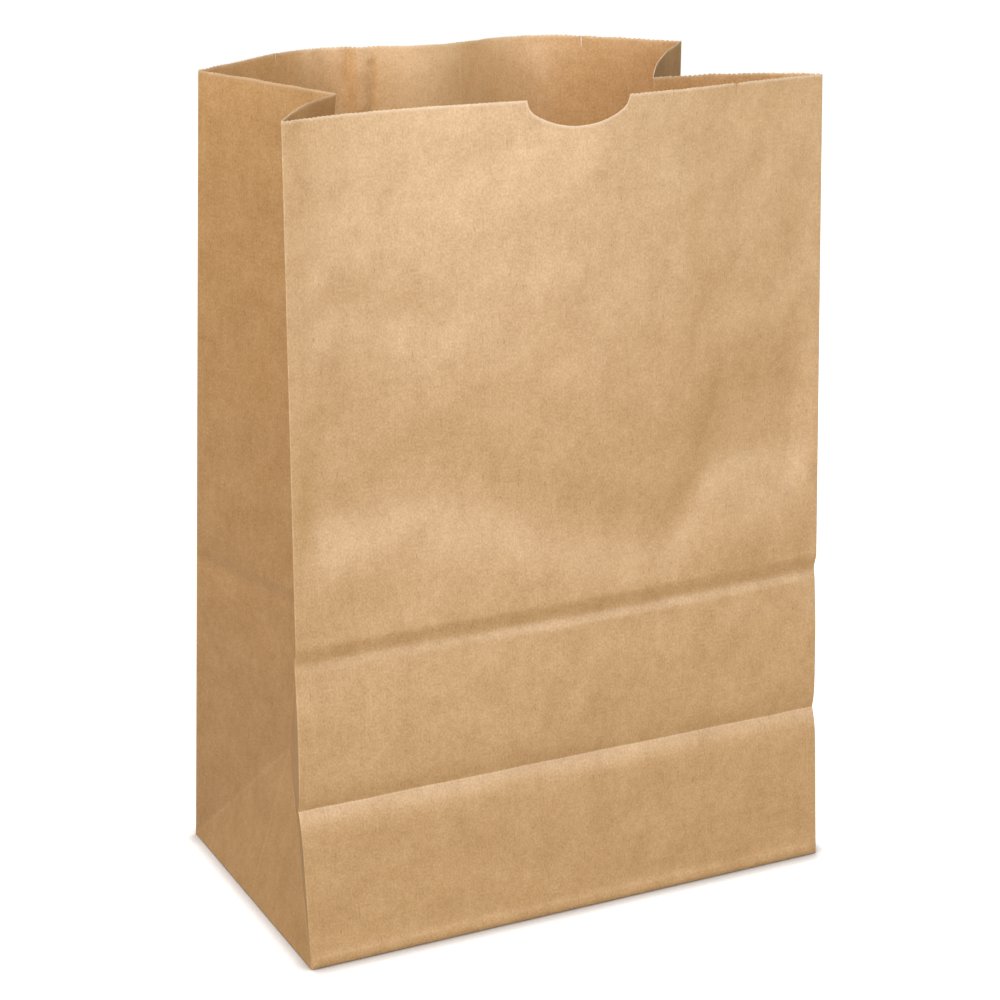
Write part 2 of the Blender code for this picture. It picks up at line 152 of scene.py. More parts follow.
# The paper's patterns: width of a feature, how many times longer it is up the sheet, detail, roughness, and
# how strongly it tints the paper. The streaks are drawn coarser than they are, so that they show.
PATTERNS = {
    "clouds": (16 * MM, 1.2, 2.5, 0.55, 0.42),
    "flocks": (4.5 * MM, 1.0, 2.0, 0.5, 0.36),
    "grain": (1.0 * MM, 1.3, 2.0, 0.7, 1.0),
    "streaks": (1.2 * MM, 14.0, 1.0, 0.5, 0.13),
}
RAISED = {"grain": 0.6, "flocks": 0.9, "streaks": 0.25}  # how strongly each one stands out
FIBRE_REACH = 0.016  # a fibre's edge from its middle, as a share of its cell
FIBRE_LAYERS = ((18, 11 * MM), (-52, 14 * MM), (80, 17 * MM))  # direction in degrees, width of a cell
CRINKLE_PITCH = 1.5 * MM
PALER = {"wear_highlight_and_shade": 0.3, "double_ply_and_painted_light": 0.34}  # how much paler the paper is from fold wear and painted highlights, less painted shade, and from doubled paper and painted light

# Where the paper shows wear with painted highlights, painted shade, crushing, and a doubled ply with painted
# light
FOLD_WEAR_AND_HIGHLIGHT = 0.8 * MM  # reach to each side of a fold's wear and painted highlight
CREASE_WEAR = 2 * MM  # the same of the side panels' middle creases, below the folds at 45 degrees
SEAM_SHADE = 1.2 * MM  # reach of the painted shadow beside the seam's free edge
CRUSH_PLACE = 8 * MM  # of the crinkles from the left front fold
CRUSH_WIDTH = 16 * MM
CRUSH_FROM = 270 * MM  # height at which the crinkles begin, and how far they take to come in
CRUSH_EASE = 60 * MM
PALE_INNER_END = 80 * MM  # where the paler band ends on the inner ply, from its free edge: the doubled lap, then painted light
PALE_INNER_EASE = 50 * MM
PALE_OUTER_START = 75 * MM  # where it begins on the outer ply, before the lap: painted light, then the doubled lap
PALE_OUTER_EASE = 60 * MM

# Colours
PAPER_DARK = "#AC814B"
PAPER_MIDDLE = "#CCA169"
PAPER_PALE = "#E1BE8C"
FIBRE_COLOUR = "#6A4522"
# The cut edge's rim: raw fibres, and partly a painted highlight
EDGE_COLOUR = "#EBD6B4"
FLOOR_COLOUR = "#9C948C"

# Lamps: place, width and height, power, colour
SOFTBOXES = {
    "front_softbox": ((0, -1.8, 1.1), (0.8, 0.8), 6.8, "#FFFFFF"),
    "left_front_softbox": ((-0.9, -1.5, 0.6), (0.6, 0.6), 6, "#FFFFFF"),
    "long_low_softbox": ((0.3, -1.4, 0.4), (2.0, 0.35), 8.5, "#FFFFFF"),
    "top_softbox": ((0, -0.2, 1.8), (0.8, 0.8), 11, "#FFFFFF"),
    "mouth_softbox": ((0.03, -0.13, 0.85), (0.3, 0.3), 1.2, "#ECF3FF"),
    "left_softbox": ((-1.0, -0.1, 1.3), (0.6, 0.6), 12.2, "#FFF2EA"),
    "right_back_softbox": ((1.3, 1.5, 1.0), (0.8, 0.8), 12, "#FFF8F0"),
    "back_softbox": ((-0.4, 1.7, 1.2), (0.8, 0.8), 10, "#FFF8F0"),
}
LAMP_AIM = (0, 0, 0.22)
ROOM_LIGHT = 0.04  # of the white room on the bag
FLOOR_REACH = 4.0
CONTACT_REACH = 12 * MM  # of the painted contact shadow round the bag's foot

# The photograph's camera
CAMERA_PLACE = (-0.5914, -1.20985, 0.66946)
CAMERA_DOWN = math.radians(19.01)
CAMERA_TURN = math.radians(-25.95)
CAMERA_LENS = 94.91
CAMERA_FRAME = 36.0
CAMERA_SHIFT = (0.0007, -0.0004)


def place(*coordinates):
    """The numbers as an array."""
    return np.array(coordinates, float)


def smooth(x):
    """Smooth step from 0 to 1: three times x squared less twice x cubed."""
    x = np.clip(x, 0, 1)
    return x * x * (3 - 2 * x)


def hill(x):
    """Bell from 1 at 0: e to the power of minus x squared."""
    return np.exp(-(x * x))


def ripples(x, y, length, seed, count=14):
    """Soft unevenness of about that wavelength, mostly from -1 to 1.

    Sine waves in random directions are summed, and divided by the root of their count.
    """
    rng = np.random.default_rng(seed)
    total = 0.0
    for turn, phase, stretch in rng.uniform((0, 0, 0.7), (math.tau, math.tau, 1.5), (count, 3)):
        along = x * math.cos(turn) + y * math.sin(turn)
        total = total + np.sin(math.tau * along / length * stretch + phase)
    return total / math.sqrt(count)


def ridge(x, y, start, end, width, height):
    """A soft swelling along a line: height times a bell of the distance to the line over the width."""
    along = place(*end) - place(*start)
    share = np.clip(((x - start[0]) * along[0] + (y - start[1]) * along[1]) / (along @ along), 0, 1)
    return height * hill(np.hypot(x - start[0] - share * along[0], y - start[1] - share * along[1]) / width)


def ridges(x, y, rows):
    """The sum of several ridges."""
    return sum(ridge(x, y, *row) for row in rows)


def wave(t, sizes):
    """Sum of half waves: size k times sin(k pi t), for t from 0 to 1 along a run."""
    return sum(size * np.sin((k + 1) * np.pi * t) for k, size in enumerate(sizes))


def run_length(chord, sizes):
    """Length of a waved run: the sum of its chords over 200 equal steps."""
    t = np.linspace(0.0, 1.0, 201)
    return np.hypot(np.diff(t * chord), np.diff(wave(t, sizes))).sum()


def halve_to(wanted, length_at, low, high):
    """The value between low and high at which a growing function reaches wanted, by halving 40 times."""
    for _ in range(40):
        middle = (low + high) / 2
        low, high = (middle, high) if length_at(middle) < wanted else (low, middle)
    return (low + high) / 2


# Feet of the folds, the creases half a side panel up, and the tops of the folds
FOOT = {
    "left_front": place(-WIDTH / 2, -HALF_SIDE, 0),
    "right_front": place(WIDTH / 2, -HALF_SIDE, 0),
    "left_back": place(-WIDTH / 2, HALF_SIDE, 0),
    "right_back": place(WIDTH / 2, HALF_SIDE, 0),
    "left_crease": place(-WIDTH / 2, 0, 0),
    "right_crease": place(WIDTH / 2, 0, 0),
}
SIDE_SET_IN = math.sqrt(HALF_SIDE**2 - (HALF_SIDE - CREASE_SET_IN) ** 2)
CREASE_RISE = math.sqrt(HALF_SIDE**2 - CREASE_SET_IN**2 - CREASE_SHIFT**2)
APEX_RISE = math.sqrt(HALF_SIDE**2 - SIDE_SET_IN**2)
CREASE = {
    "left_front": FOOT["left_front"] + place(CREASE_SHIFT, CREASE_SET_IN, CREASE_RISE),
    "right_front": FOOT["right_front"] + place(CREASE_SHIFT, CREASE_SET_IN, CREASE_RISE),
    "left_crease": FOOT["left_crease"] + place(SIDE_SET_IN, 0, APEX_RISE),
    "right_crease": FOOT["right_crease"] + place(-SIDE_SET_IN, 0, APEX_RISE),
}


def mouth_plan():
    """Tops of the folds in plan: from each one, a step of the next run's chord in the run's direction."""
    top = {"left_front": FOOT["left_front"][:2] + place(MOUTH_SHIFT, MOUTH_LEAN)}
    runs = (
        ("left_front", "right_front", FRONT_TURN, WIDTH, FRONT_WAVE),
        ("left_front", "left_crease", LEFT_FOLD_IN, HALF_SIDE, LEFT_WAVE),
        ("left_crease", "left_back", LEFT_FOLD_OUT, HALF_SIDE, (0.0,)),
        ("right_front", "right_crease", RIGHT_FOLD_IN, HALF_SIDE, RIGHT_WAVE),
        ("right_crease", "right_back", RIGHT_FOLD_OUT, HALF_SIDE, RIGHT_BACK_WAVE),
    )
    for start, end, turn, length, sizes in runs:
        chord = halve_to(length, lambda c: run_length(c, sizes), length / 2, length)
        top[end] = top[start] + chord * place(math.cos(turn), math.sin(turn))
    return top


TOP = mouth_plan()


def back_wave():
    """Waves of the back panel's cut edge, as large as gives it the panel's full width."""
    chord = np.linalg.norm(TOP["right_back"] - TOP["left_back"])
    shape = np.array(BACK_WAVE_SHAPE)
    return tuple(halve_to(WIDTH, lambda size: run_length(chord, size * shape), 0.0, WIDTH / 2) * shape)


# Each panel between two folds: its first and second fold, its width, and the waves of its cut edge
PANELS = {
    "front": ("left_front", "right_front", WIDTH, FRONT_WAVE),
    "back": ("left_back", "right_back", WIDTH, back_wave()),
    "left_outer": ("left_front", "left_crease", HALF_SIDE, LEFT_WAVE),
    "left_inner": ("left_back", "left_crease", HALF_SIDE, (0.0,)),
    "right_outer": ("right_front", "right_crease", HALF_SIDE, RIGHT_WAVE),
    "right_inner": ("right_back", "right_crease", HALF_SIDE, RIGHT_BACK_WAVE),
}
# The sheet's course: panel, and the distances from its first fold at which the course enters and leaves it
RUNS = (
    ("back", SEAM_PLACE, 0.0),
    ("left_inner", 0.0, HALF_SIDE),
    ("left_outer", HALF_SIDE, 0.0),
    ("front", 0.0, WIDTH),
    ("right_outer", 0.0, HALF_SIDE),
    ("right_inner", HALF_SIDE, 0.0),
    ("back", WIDTH, SEAM_PLACE - SEAM_LAP),
)
RUN_START = np.concatenate([[0.0], np.cumsum([abs(end - start) for _, start, end in RUNS])])
COURSE = RUN_START[-1]
INNER_BACK, LEFT_INNER, LEFT_OUTER, FRONT, RIGHT_OUTER, RIGHT_INNER, OUTER_BACK = range(len(RUNS))
SIDE_RUNS = (LEFT_INNER, LEFT_OUTER, RIGHT_OUTER, RIGHT_INNER)


def run_of(course):
    """Number of the run that each course distance falls in."""
    return np.clip(np.searchsorted(RUN_START, course, side="right") - 1, 0, len(RUNS) - 1)


def across(course):
    """Distance from the panel's first fold: the run's entry plus or minus the distance gone in it."""
    run = run_of(course)
    entry = np.array([start for _, start, _ in RUNS])
    turn = np.array([np.sign(end - start) for _, start, end in RUNS])
    return entry[run] + turn[run] * (course - RUN_START[run])


def rulings(course):
    """Heights of the folds that each vertical line crosses, and their places, foot and top included.

    Between two folds a line of the tube is straight. Its top stands on the waved run of the mouth, as high as
    the paper above the last fold reaches: the root of reach squared less the sideways distance squared.
    """
    heights = np.zeros((len(course), 4))
    places = np.zeros((len(course), 4, 3))
    run = run_of(course)
    for number, (panel, _, _) in enumerate(RUNS):
        here = run == number
        first, second, width, sizes = PANELS[panel]
        t = (across(course[here]) / width)[:, None]
        foot = FOOT[first] + t * (FOOT[second] - FOOT[first])
        lower, upper, low, high = foot, foot, 0 * t, 0 * t
        if panel != "back" and second.endswith("crease"):
            low = high = t * HALF_SIDE
            lower = upper = FOOT[first] + t * (CREASE[second] - FOOT[first])
        if first.endswith("front"):
            high = HALF_SIDE + 0 * t
            upper = CREASE[first] + t * (CREASE[second] - CREASE[first])
        along = (TOP[second] - TOP[first]) / np.linalg.norm(TOP[second] - TOP[first])
        plan = TOP[first] + t * (TOP[second] - TOP[first]) + wave(t, sizes) * place(-along[1], along[0])
        aside = ((plan - upper[:, :2]) ** 2).sum(1, keepdims=True)
        rise = (1 - t) * RISE[first] + t * RISE[second]
        top = np.hstack([plan, upper[:, 2:] + np.sqrt((HEIGHT - high) ** 2 - aside) + rise])
        heights[here] = np.hstack([0 * t, low, high, HEIGHT + 0 * t])
        places[here] = np.stack([foot, lower, upper, top], 1)
    return heights, places


def flat_folded(course, height):
    """Points of the sheet with its folds still sharp: the foot, and each stretch's share that is climbed."""
    heights, places = rulings(course)
    points = places[:, 0].copy()
    for k in range(3):
        span = heights[:, k + 1] - heights[:, k]
        climbed = np.clip((height - heights[:, k]) / np.maximum(span, 1e-9), 0, 1 if k < 2 else None)
        points += climbed[:, None] * (places[:, k + 1] - places[:, k])
    return points


def seam_inset(course):
    """How far the inner ply of the seam lies inside the outer one.

    A ply and its glue in the lap, then less and less by the smooth step.
    """
    return (PAPER + GLUE) * (1 - smooth((course - SEAM_LAP) / SEAM_EASE))


def loose_edge(course, height):
    """How far the seam's inner free edge has come loose: up to 0.45 mm, by a bell 4 mm wide."""
    return 0.45 * MM * hill(course / (4 * MM)) * np.clip(height / (10 * MM), 0, 1)


def rounded(course, height):
    """Points of the sheet with its upright folds rounded: a weighted mean over a narrow band of courses."""
    reach = np.minimum(FOLD_ROUND, np.minimum(course, COURSE - course))
    points = 0.0
    for offset, weight in ((-1, 1), (-0.5, 2), (0, 2), (0.5, 2), (1, 1)):
        points = points + weight / 8 * flat_folded(course + offset * reach, height)
    points[:, 1] -= seam_inset(course) + loose_edge(course, height)
    return points


def front_crease(h):
    """The crease of the folded-up bottom, a valley.

    The upper flank climbs as 1 less e to the power of minus the distance over 6.5 mm. The lower flank climbs
    as a hyperbolic tangent of the distance over 9 mm, and comes back slowly towards the foot.
    """
    line = HALF_SIDE / MM
    above = np.maximum(h - line, 0)
    below = np.maximum(line - h, 0)
    upper = 2.5 * (1 - np.exp(-above / 6.5))
    lower = 3.1 * np.tanh(below / 9) - 0.9 * smooth(below / 85)
    return upper + lower - CREASE_DEPTH


def pressed_mark(h, line, quick):
    """The mark that the folded-up bottom's edge pressed in: a smooth V.

    It comes back over 9 mm above its line. Below the line it comes back quick mm over the first 6.5 mm, and
    the rest over 35 mm.
    """
    upper = MARK_DEPTH * smooth(1 - (h - line) / 9)
    lower = quick * smooth(1 + (h - line) / 6.5) + (MARK_DEPTH - quick) * smooth(1 + (h - line) / 35)
    return -np.where(h > line, upper, lower)


def front_marks(u, h):
    """The crease and the mark in the front panel, faded out over 2.5 mm above the foot."""
    line = MARK_LEFT + (MARK_RIGHT - MARK_LEFT) * u / (WIDTH / MM)
    quick = 0.45 + 0.6 * smooth((u - 70) / 80) * smooth((420 - u) / 220)
    return (front_crease(h) + pressed_mark(h, line, quick)) * smooth(h / 2.5)


def marks_forward(course, height):
    """How far the front panel's marks move each point of the sheet towards the front, in metres.

    They run on through the two front folds, and fade over 6 mm of the side panels.
    """
    run = run_of(course)
    u = across(course) / MM
    beside = np.isin(run, (LEFT_OUTER, RIGHT_OUTER))
    on_front = np.where(run == FRONT, u, np.where(run == LEFT_OUTER, 0, WIDTH / MM))
    share = np.where(run == FRONT, 1.0, np.where(beside, smooth(1 - u / 6), 0.0))
    return MM * share * front_marks(on_front, height / MM)


def front_swells(u, h):
    """The soft unevenness of the standing front panel.

    A wide hollow lies over the pressed mark, a bell across a line that runs down to the right, then up again,
    and from there level. The panel leans back a little more near its top, and most at the left. Below the
    right half of the mouth lie upright waves, a sine 8.1 mm long.
    """
    line = 244 - 40 * smooth((u - 40) / 170) ** 1.2 + 43 * smooth((u - 207) / 40)
    depth = 3.2 + 0.6 * hill((u - 110) / 45) + 1.4 * smooth((u - 215) / 40)
    hollow = depth * np.where(h > line, hill((h - line) / 42), hill((h - line) / 24))
    lean = 1.8 * smooth((h - 365) / 90) * smooth((230 - u) / 200)
    waves = np.sin(math.tau * (u - 195) / 8.1) * smooth((u - 188) / 8) * smooth((236 - u) / 10)
    return ridges(u, h, FRONT_DENTS) - hollow - lean + 0.08 * waves * smooth((h - 370) / 25)


def relief_of(course, height):
    """How far each point of the sheet stands out from the flat-folded bag, in metres.

    Soft ripples, swells and wrinkles fade out over 16 mm to a fold, and marks over 1.7 mm.
    """
    run = run_of(course)
    u = across(course) / MM
    h = height / MM
    side = np.isin(run, SIDE_RUNS)
    to_fold = np.minimum(u, np.where(side, HALF_SIDE, WIDTH) / MM - u)
    # The seam's two plies lie on each other, so the ripples of the outer one go by the inner one's course
    along = np.where(run == OUTER_BACK, SEAM_PLACE / MM - u, course / MM)
    soft = 0.26 * ripples(along, h, 52, 5) + 0.07 * ripples(along, h, 21, 8)
    soft += np.where(run == FRONT, front_swells(u, h), 0.0)
    soft += np.where(run == INNER_BACK, ridges(u, h, BACK_HOLLOWS + SHARP_WRINKLES), 0.0)
    marks = np.where(run == FRONT, ridge(u, h, *FOOT_ROLL), 0.0)
    marks += np.where(side, 0.4 * pressed_mark(h, MARK_SIDE, 1.0), 0.0)
    soft *= smooth(to_fold / 16) * smooth(h / 16)
    return MM * (soft + marks * smooth(to_fold / 1.7) * smooth(h / 2.5))


def foot_level(course):
    """Height of the ply that the sheet turns into at its foot, by the smooth step where two plies meet.

    The back flap lies lowest, with the seam's inner ply on it. Then comes the front flap, and the side flaps
    are highest.
    """
    run = run_of(course)
    eased = smooth(across(course) / LEVEL_EASE)
    level = np.where(run == FRONT, FRONT_LEVEL, 0.0)
    from_front = FRONT_LEVEL + (SIDE_LEVEL - FRONT_LEVEL) * eased
    level = np.where(np.isin(run, (LEFT_OUTER, RIGHT_OUTER)), from_front, level)
    level = np.where(np.isin(run, (LEFT_INNER, RIGHT_INNER)), SIDE_LEVEL * eased, level)
    return level + np.where(run == INNER_BACK, seam_inset(course), 0.0)


def sheet_point(course, height):
    """Points of the finished tube: the rounded bag, moved by the relief along its outward normal.

    The normal is the cross product of two short steps on the rounded bag, along the course and up.
    """
    step = 1.2 * MM
    low, high = np.clip(course - step, 0, COURSE), np.clip(course + step, 0, COURSE)
    along = rounded(high, height) - rounded(low, height)
    up = rounded(course, height + step) - rounded(course, np.maximum(height - step, 0))
    normal = np.cross(along, up)
    normal /= np.linalg.norm(normal, axis=1, keepdims=True)
    points = rounded(course, height) + relief_of(course, height)[:, None] * normal
    points[:, 1] -= marks_forward(course, height)
    points[:, 2] = foot_level(course) + points[:, 2] * (1 - foot_level(course) / HEIGHT)
    return points


def squeezed(u, depth):
    """How a long bottom flap narrows: each end is drawn in evenly, until its outline lies at the depth.

    An end's distances shrink in the ratio of what is left of it. The middle stays straight.
    """
    left = depth + u * (1 - depth / DRAWN_IN)
    right = WIDTH - depth - (WIDTH - u) * (1 - depth / DRAWN_IN)
    return np.where(u < DRAWN_IN, left, np.where(u > WIDTH - DRAWN_IN, right, u))


def floor_lift(x, y):
    """The bottom's unevenness, up to about 0.7 mm: soft ripples, eased to none at the folds."""
    inward = np.minimum(WIDTH / 2 - np.abs(x), HALF_SIDE - np.abs(y))
    return 0.3 * MM * np.maximum(1.3 + ripples(x / MM, y / MM, 75, 3), 0) * smooth(inward / (35 * MM))


def flap_point(run, course, depth):
    """Points of a bottom flap and their courses on the sheet, depth metres in from the foot of the wall.

    A side flap goes straight in. A long flap does too, and its points are drawn in along the fold. Each ply
    comes from the foot's level to its own by the smooth step.
    """
    u = across(course)
    foot = foot_level(course)
    if run in SIDE_RUNS:
        turn = -1 if run in (LEFT_INNER, LEFT_OUTER) else 1
        from_front = u if run in (LEFT_OUTER, RIGHT_OUTER) else DEPTH - u
        x = turn * (WIDTH / 2 - depth)
        y = from_front - HALF_SIDE
        level = SIDE_LEVEL
    else:
        turn = -1 if run == FRONT else 1
        inset = seam_inset(course) if run == INNER_BACK else 0.0
        drawn_in = squeezed(u, depth)
        course = course + (drawn_in - u) * np.sign(RUNS[run][2] - RUNS[run][1])
        x = drawn_in - WIDTH / 2
        y = turn * (HALF_SIDE - depth - inset)
        level = FRONT_LEVEL if run == FRONT else inset
    z = foot + (level - foot) * smooth(depth / LEVEL_EASE) + floor_lift(x, y)
    return np.stack([x, y, z], 1), course


def from_fold(course, height):
    """Distance to the nearest fold on the sheet: upright, across, at 45 degrees, or round the foot."""
    run = run_of(course)
    u = across(course)
    side = np.isin(run, SIDE_RUNS)
    creased = np.isin(run, (LEFT_OUTER, FRONT, RIGHT_OUTER))
    near = np.minimum(np.abs(height), np.minimum(u, np.where(side, HALF_SIDE, WIDTH) - u))
    near = np.where(creased, np.minimum(near, np.abs(height - HALF_SIDE)), near)
    return np.where(side, np.minimum(near, np.abs(height - u) / math.sqrt(2)), near)


def divide(stops, cell):
    """Places from stop to stop, each stretch cut into equal cells no longer than this."""
    parts = []
    for a, b in zip(stops, stops[1:]):
        parts.append(np.linspace(a, b, max(1, math.ceil(abs(b - a) / cell - 1e-6)) + 1)[:-1])
    return np.concatenate([*parts, [stops[-1]]])


def notch_outline():
    """The thumb notch from left to right: a tight corner arc, the wide base arc, and the corner arc mirrored.

    The corner circles touch the base circle from inside, and leave the cut edge square to it.
    """
    base = NOTCH_BASE_RADIUS - NOTCH_DEPTH
    reach = NOTCH_BASE_RADIUS - NOTCH_CORNER_RADIUS
    corner_x = NOTCH_WIDTH / 2 - NOTCH_CORNER_RADIUS
    corner_y = base - math.sqrt(reach**2 - corner_x**2)
    touch = math.atan2(corner_y - base, corner_x)
    tight = np.linspace(-math.asin(corner_y / NOTCH_CORNER_RADIUS), touch, 30)
    wide = np.linspace(touch, -math.pi / 2, 60)[1:]
    x = place(*(corner_x + NOTCH_CORNER_RADIUS * np.cos(tight)), *(NOTCH_BASE_RADIUS * np.cos(wide)))
    y = place(*(corner_y + NOTCH_CORNER_RADIUS * np.sin(tight)), *(base + NOTCH_BASE_RADIUS * np.sin(wide)))
    return np.stack([np.concatenate([-x, x[-2::-1]]), np.concatenate([y, y[-2::-1]])], 1)


SLIT_OUTLINE = place(-SLIT_WIDTH / 2, 0, 0, -SLIT_DEPTH, SLIT_WIDTH / 2, 0).reshape(3, 2)
# What is cut out of the mouth's edge, by the sheet's course: middle, half the width of its columns, outline,
# and how it was cut
CUTS = (
    (SEAM_PLACE - 58.5 * MM, CELL, SLIT_OUTLINE, SLIT),
    (RUN_START[FRONT] + NOTCH_PLACE, NOTCH_WIDTH / 2, notch_outline(), PUNCHED),
    (RUN_START[FRONT] + 249 * MM, CELL, SLIT_OUTLINE, SLIT),
    (RUN_START[OUTER_BACK] + WIDTH - 252 * MM, CELL, SLIT_OUTLINE, SLIT),
)


def mouth_edge():
    """The cut edge without its teeth: lengths along it, courses, heights, and how each stretch was cut."""
    line = HEIGHT - TOOTH_DEPTH / 2
    courses, heights, kinds = [0.0], [line], []
    for middle, _, outline, kind in CUTS:
        courses += list(middle + outline[:, 0])
        heights += list(line + outline[:, 1])
        kinds += [SAWN] + [kind] * (len(outline) - 1)
    courses, heights, kinds = place(*courses, COURSE), place(*heights, line), place(*kinds, SAWN)
    lengths = np.concatenate([[0.0], np.cumsum(np.hypot(np.diff(courses), np.diff(heights)))])
    return lengths, courses, heights, kinds


def column_courses():
    """Courses of the sheet's columns: every fold, the two narrow steps beside it, and even cells between."""
    near = [0.0, *FOLD_STEPS]
    cells = [HALF_SIDE * k / SIDE_CELLS for k in range(1, SIDE_CELLS)]
    half_side = [*near, *cells, *(HALF_SIDE - s for s in near[::-1])]
    parts = []
    for number in range(len(RUNS)):
        low, high = RUN_START[number], RUN_START[number + 1]
        if number in SIDE_RUNS:
            parts.append(low + place(*half_side))
            continue
        stops = {low, high, *(low + s for s in FOLD_STEPS), *(high - s for s in FOLD_STEPS)}
        for middle, half, _, kind in CUTS:
            if low < middle < high:
                stops |= {middle - half, middle + half}
                if kind == SLIT:
                    stops.add(middle)
        if number == INNER_BACK:
            stops |= {SEAM_LAP, *(SEAM_PLACE - WRINKLE_COLUMNS)}
        if number == OUTER_BACK:
            stops |= {COURSE - SEAM_LAP, *(COURSE - SEAM_LAP - s for s in SEAM_STEPS)}
        parts.append(divide(sorted(stops), CELL if number == FRONT else BACK_CELL))
    courses = np.concatenate(parts)
    return courses[np.concatenate([[True], np.diff(courses) > 1e-6])]


def row_heights():
    """Heights of the rows below the mouth: as the side's columns up to the crease, and finer at the mark."""
    near = [0.0, *FOLD_STEPS]
    cells = [HALF_SIDE * k / SIDE_CELLS for k in range(1, SIDE_CELLS)]
    low = [*near, *cells, *(HALF_SIDE - s for s in near[::-1])]
    rise = divide(place(*(HALF_SIDE + s for s in near), *CREASE_STOPS, MARK_BAND[0]), 4 * MM)[1:]
    mark = divide(MARK_BAND, 1.4 * MM)[1:]
    upper = divide([MARK_BAND[1], HEIGHT - MOUTH_ROWS], 5.5 * MM)[1:]
    return np.concatenate([low, rise, mark, upper])


def bite(length, kind):
    """How far the cut edge stands out of its middle line.

    A sawn edge has rounded teeth, as the root of the size of a cosine, and wanders by twice the fibres'
    height. A sawn or punched edge has loose fibres, as fine ripples.
    """
    teeth = TOOTH_DEPTH * (np.sqrt(np.abs(np.cos(np.pi * length / TOOTH_PITCH))) - 0.75)
    teeth += 2 * FUZZ * ripples(length, 0 * length, KNIFE_WANDER, 12)
    fibres = FUZZ * ripples(length, 0 * length, FUZZ_PITCH, 11)
    return np.where(kind == SAWN, teeth, 0) + np.where(kind == SLIT, 0, fibres)


def grid_triangles(index, rising):
    """Two triangles for each cell of a grid of point numbers, cut from its first corner or its second."""
    a, b, c, d = index[:-1, :-1], index[1:, :-1], index[1:, 1:], index[:-1, 1:]
    first = np.stack([a, b, np.where(rising, c, d)], -1)
    second = np.stack([np.where(rising, a, b), c, d], -1)
    return np.concatenate([first.reshape(-1, 3), second.reshape(-1, 3)])


def fringe(last, lengths, start):
    """Fine points along a cut edge, and the fans of triangles that join them to the last row of a grid.

    Each cell's edge is cut into equal steps. The half of them nearer to one of the cell's two columns goes to
    that column's last point. It gives the lengths along the edge of the fine points, and the triangles.
    """
    counts = np.maximum(2, np.round(np.diff(lengths) / EDGE_STEP).astype(int))
    before = np.concatenate([[0], np.cumsum(counts)])
    cell = np.repeat(np.arange(len(counts)), counts)
    step = np.arange(before[-1]) - before[cell]
    fine = np.concatenate([lengths[cell] + step / counts[cell] * np.diff(lengths)[cell], lengths[-1:]])
    point = start + np.arange(len(fine))
    half = counts // 2
    fans = np.stack([np.where(step < half[cell], last[cell], last[cell + 1]), point[1:], point[:-1]], 1)
    bridges = np.stack([last[:-1], last[1:], start + before[:-1] + half], 1)
    return fine, np.concatenate([fans, bridges])


def build_wall():
    """The tube as a grid of the sheet: its two parameters are the column's course and the row's height.

    The rows near the mouth bend until they follow the cut edge, which has its own fine points. It gives the
    points, courses, heights, cut edge and triangles, then the columns and their points at the foot.
    """
    columns = column_courses()
    rows = row_heights()
    lengths, edge_course, edge_height, kinds = mouth_edge()

    def on_edge(length, out):
        """Sheet places on the cut edge, moved out of the paper, square to the edge."""
        x, y = np.interp(length, lengths, edge_course), np.interp(length, lengths, edge_height)
        ahead, behind = length + 0.3 * MM, length - 0.3 * MM
        run = np.interp(ahead, lengths, edge_course) - np.interp(behind, lengths, edge_course)
        rise = np.interp(ahead, lengths, edge_height) - np.interp(behind, lengths, edge_height)
        size = np.maximum(np.hypot(run, rise), 1e-9)
        return np.clip(x - out * rise / size, 0, COURSE), y + out * run / size

    at = np.interp(columns, edge_course, lengths)
    last_course, last_height = on_edge(at, -EDGE_MARGIN)
    last_course[0], last_course[-1] = 0.0, COURSE
    climb = 1 - (1 - np.linspace(0, 1, MOUTH_ROW_COUNT + 1)[1:]) ** 1.4
    low = np.broadcast_to(rows, (len(columns), len(rows)))
    high = rows[-1] + climb * (last_height[:, None] - rows[-1])
    bent = columns[:, None] + smooth(climb) * (last_course - columns)[:, None]
    course = np.hstack([np.broadcast_to(columns[:, None], low.shape), bent])
    height = np.hstack([low, high])
    index = np.arange(course.size).reshape(course.shape)
    run = run_of((columns[:-1] + columns[1:]) / 2)[:, None]
    triangles = grid_triangles(index, np.isin(run, (LEFT_INNER, RIGHT_OUTER, FRONT)))

    fine, fans = fringe(index[:, -1], at, index.size)
    kind = kinds[np.clip(np.searchsorted(lengths[1:], fine, side="right"), 0, len(kinds) - 1)]
    fine_course, fine_height = on_edge(fine, bite(fine, kind))
    course = np.concatenate([course.ravel(), fine_course])
    height = np.concatenate([height.ravel(), fine_height])
    cut = np.concatenate([np.zeros(index.size), kind != SLIT])
    triangles = np.concatenate([triangles, fans])
    return sheet_point(course, height), course, height, cut, triangles, columns, index[:, 0]


def build_flap(run, columns, foot, start):
    """One run's part of the folded bottom, a grid that goes on from the foot of the wall's own columns.

    Its parameters are the column's course and the depth in from the foot. Its free edge is toothed as the
    mouth is.
    """
    here = (columns > RUN_START[run] - 1e-7) & (columns < RUN_START[run + 1] + 1e-7)
    courses = columns[here]
    inside = np.clip(courses, RUN_START[run] + 1e-7, RUN_START[run + 1] - 1e-7)
    depths = place(FLAP - EDGE_MARGIN, *FLAP_ROWS[::-1])
    depth = np.tile(depths, len(courses))
    points, course = flap_point(run, np.repeat(inside, len(depths)), depth)
    index = start + np.arange(len(depth)).reshape(len(courses), len(depths))
    triangles = grid_triangles(np.hstack([index, foot[here][:, None]]), True)

    edge = flap_point(run, inside, FLAP + 0 * inside)[1]
    fine, fans = fringe(index[:, 0], edge, start + index.size)
    fine_depth = FLAP + bite(fine, SAWN)
    fine_points, fine_course = flap_point(run, np.interp(fine, edge, inside), fine_depth)
    points = np.concatenate([points, fine_points])
    course = np.concatenate([course, fine_course])
    height = -np.concatenate([depth, fine_depth])
    cut = np.concatenate([0 * depth, 1 + 0 * fine])
    return points, course, height, cut, np.concatenate([triangles, fans[:, ::-1]])


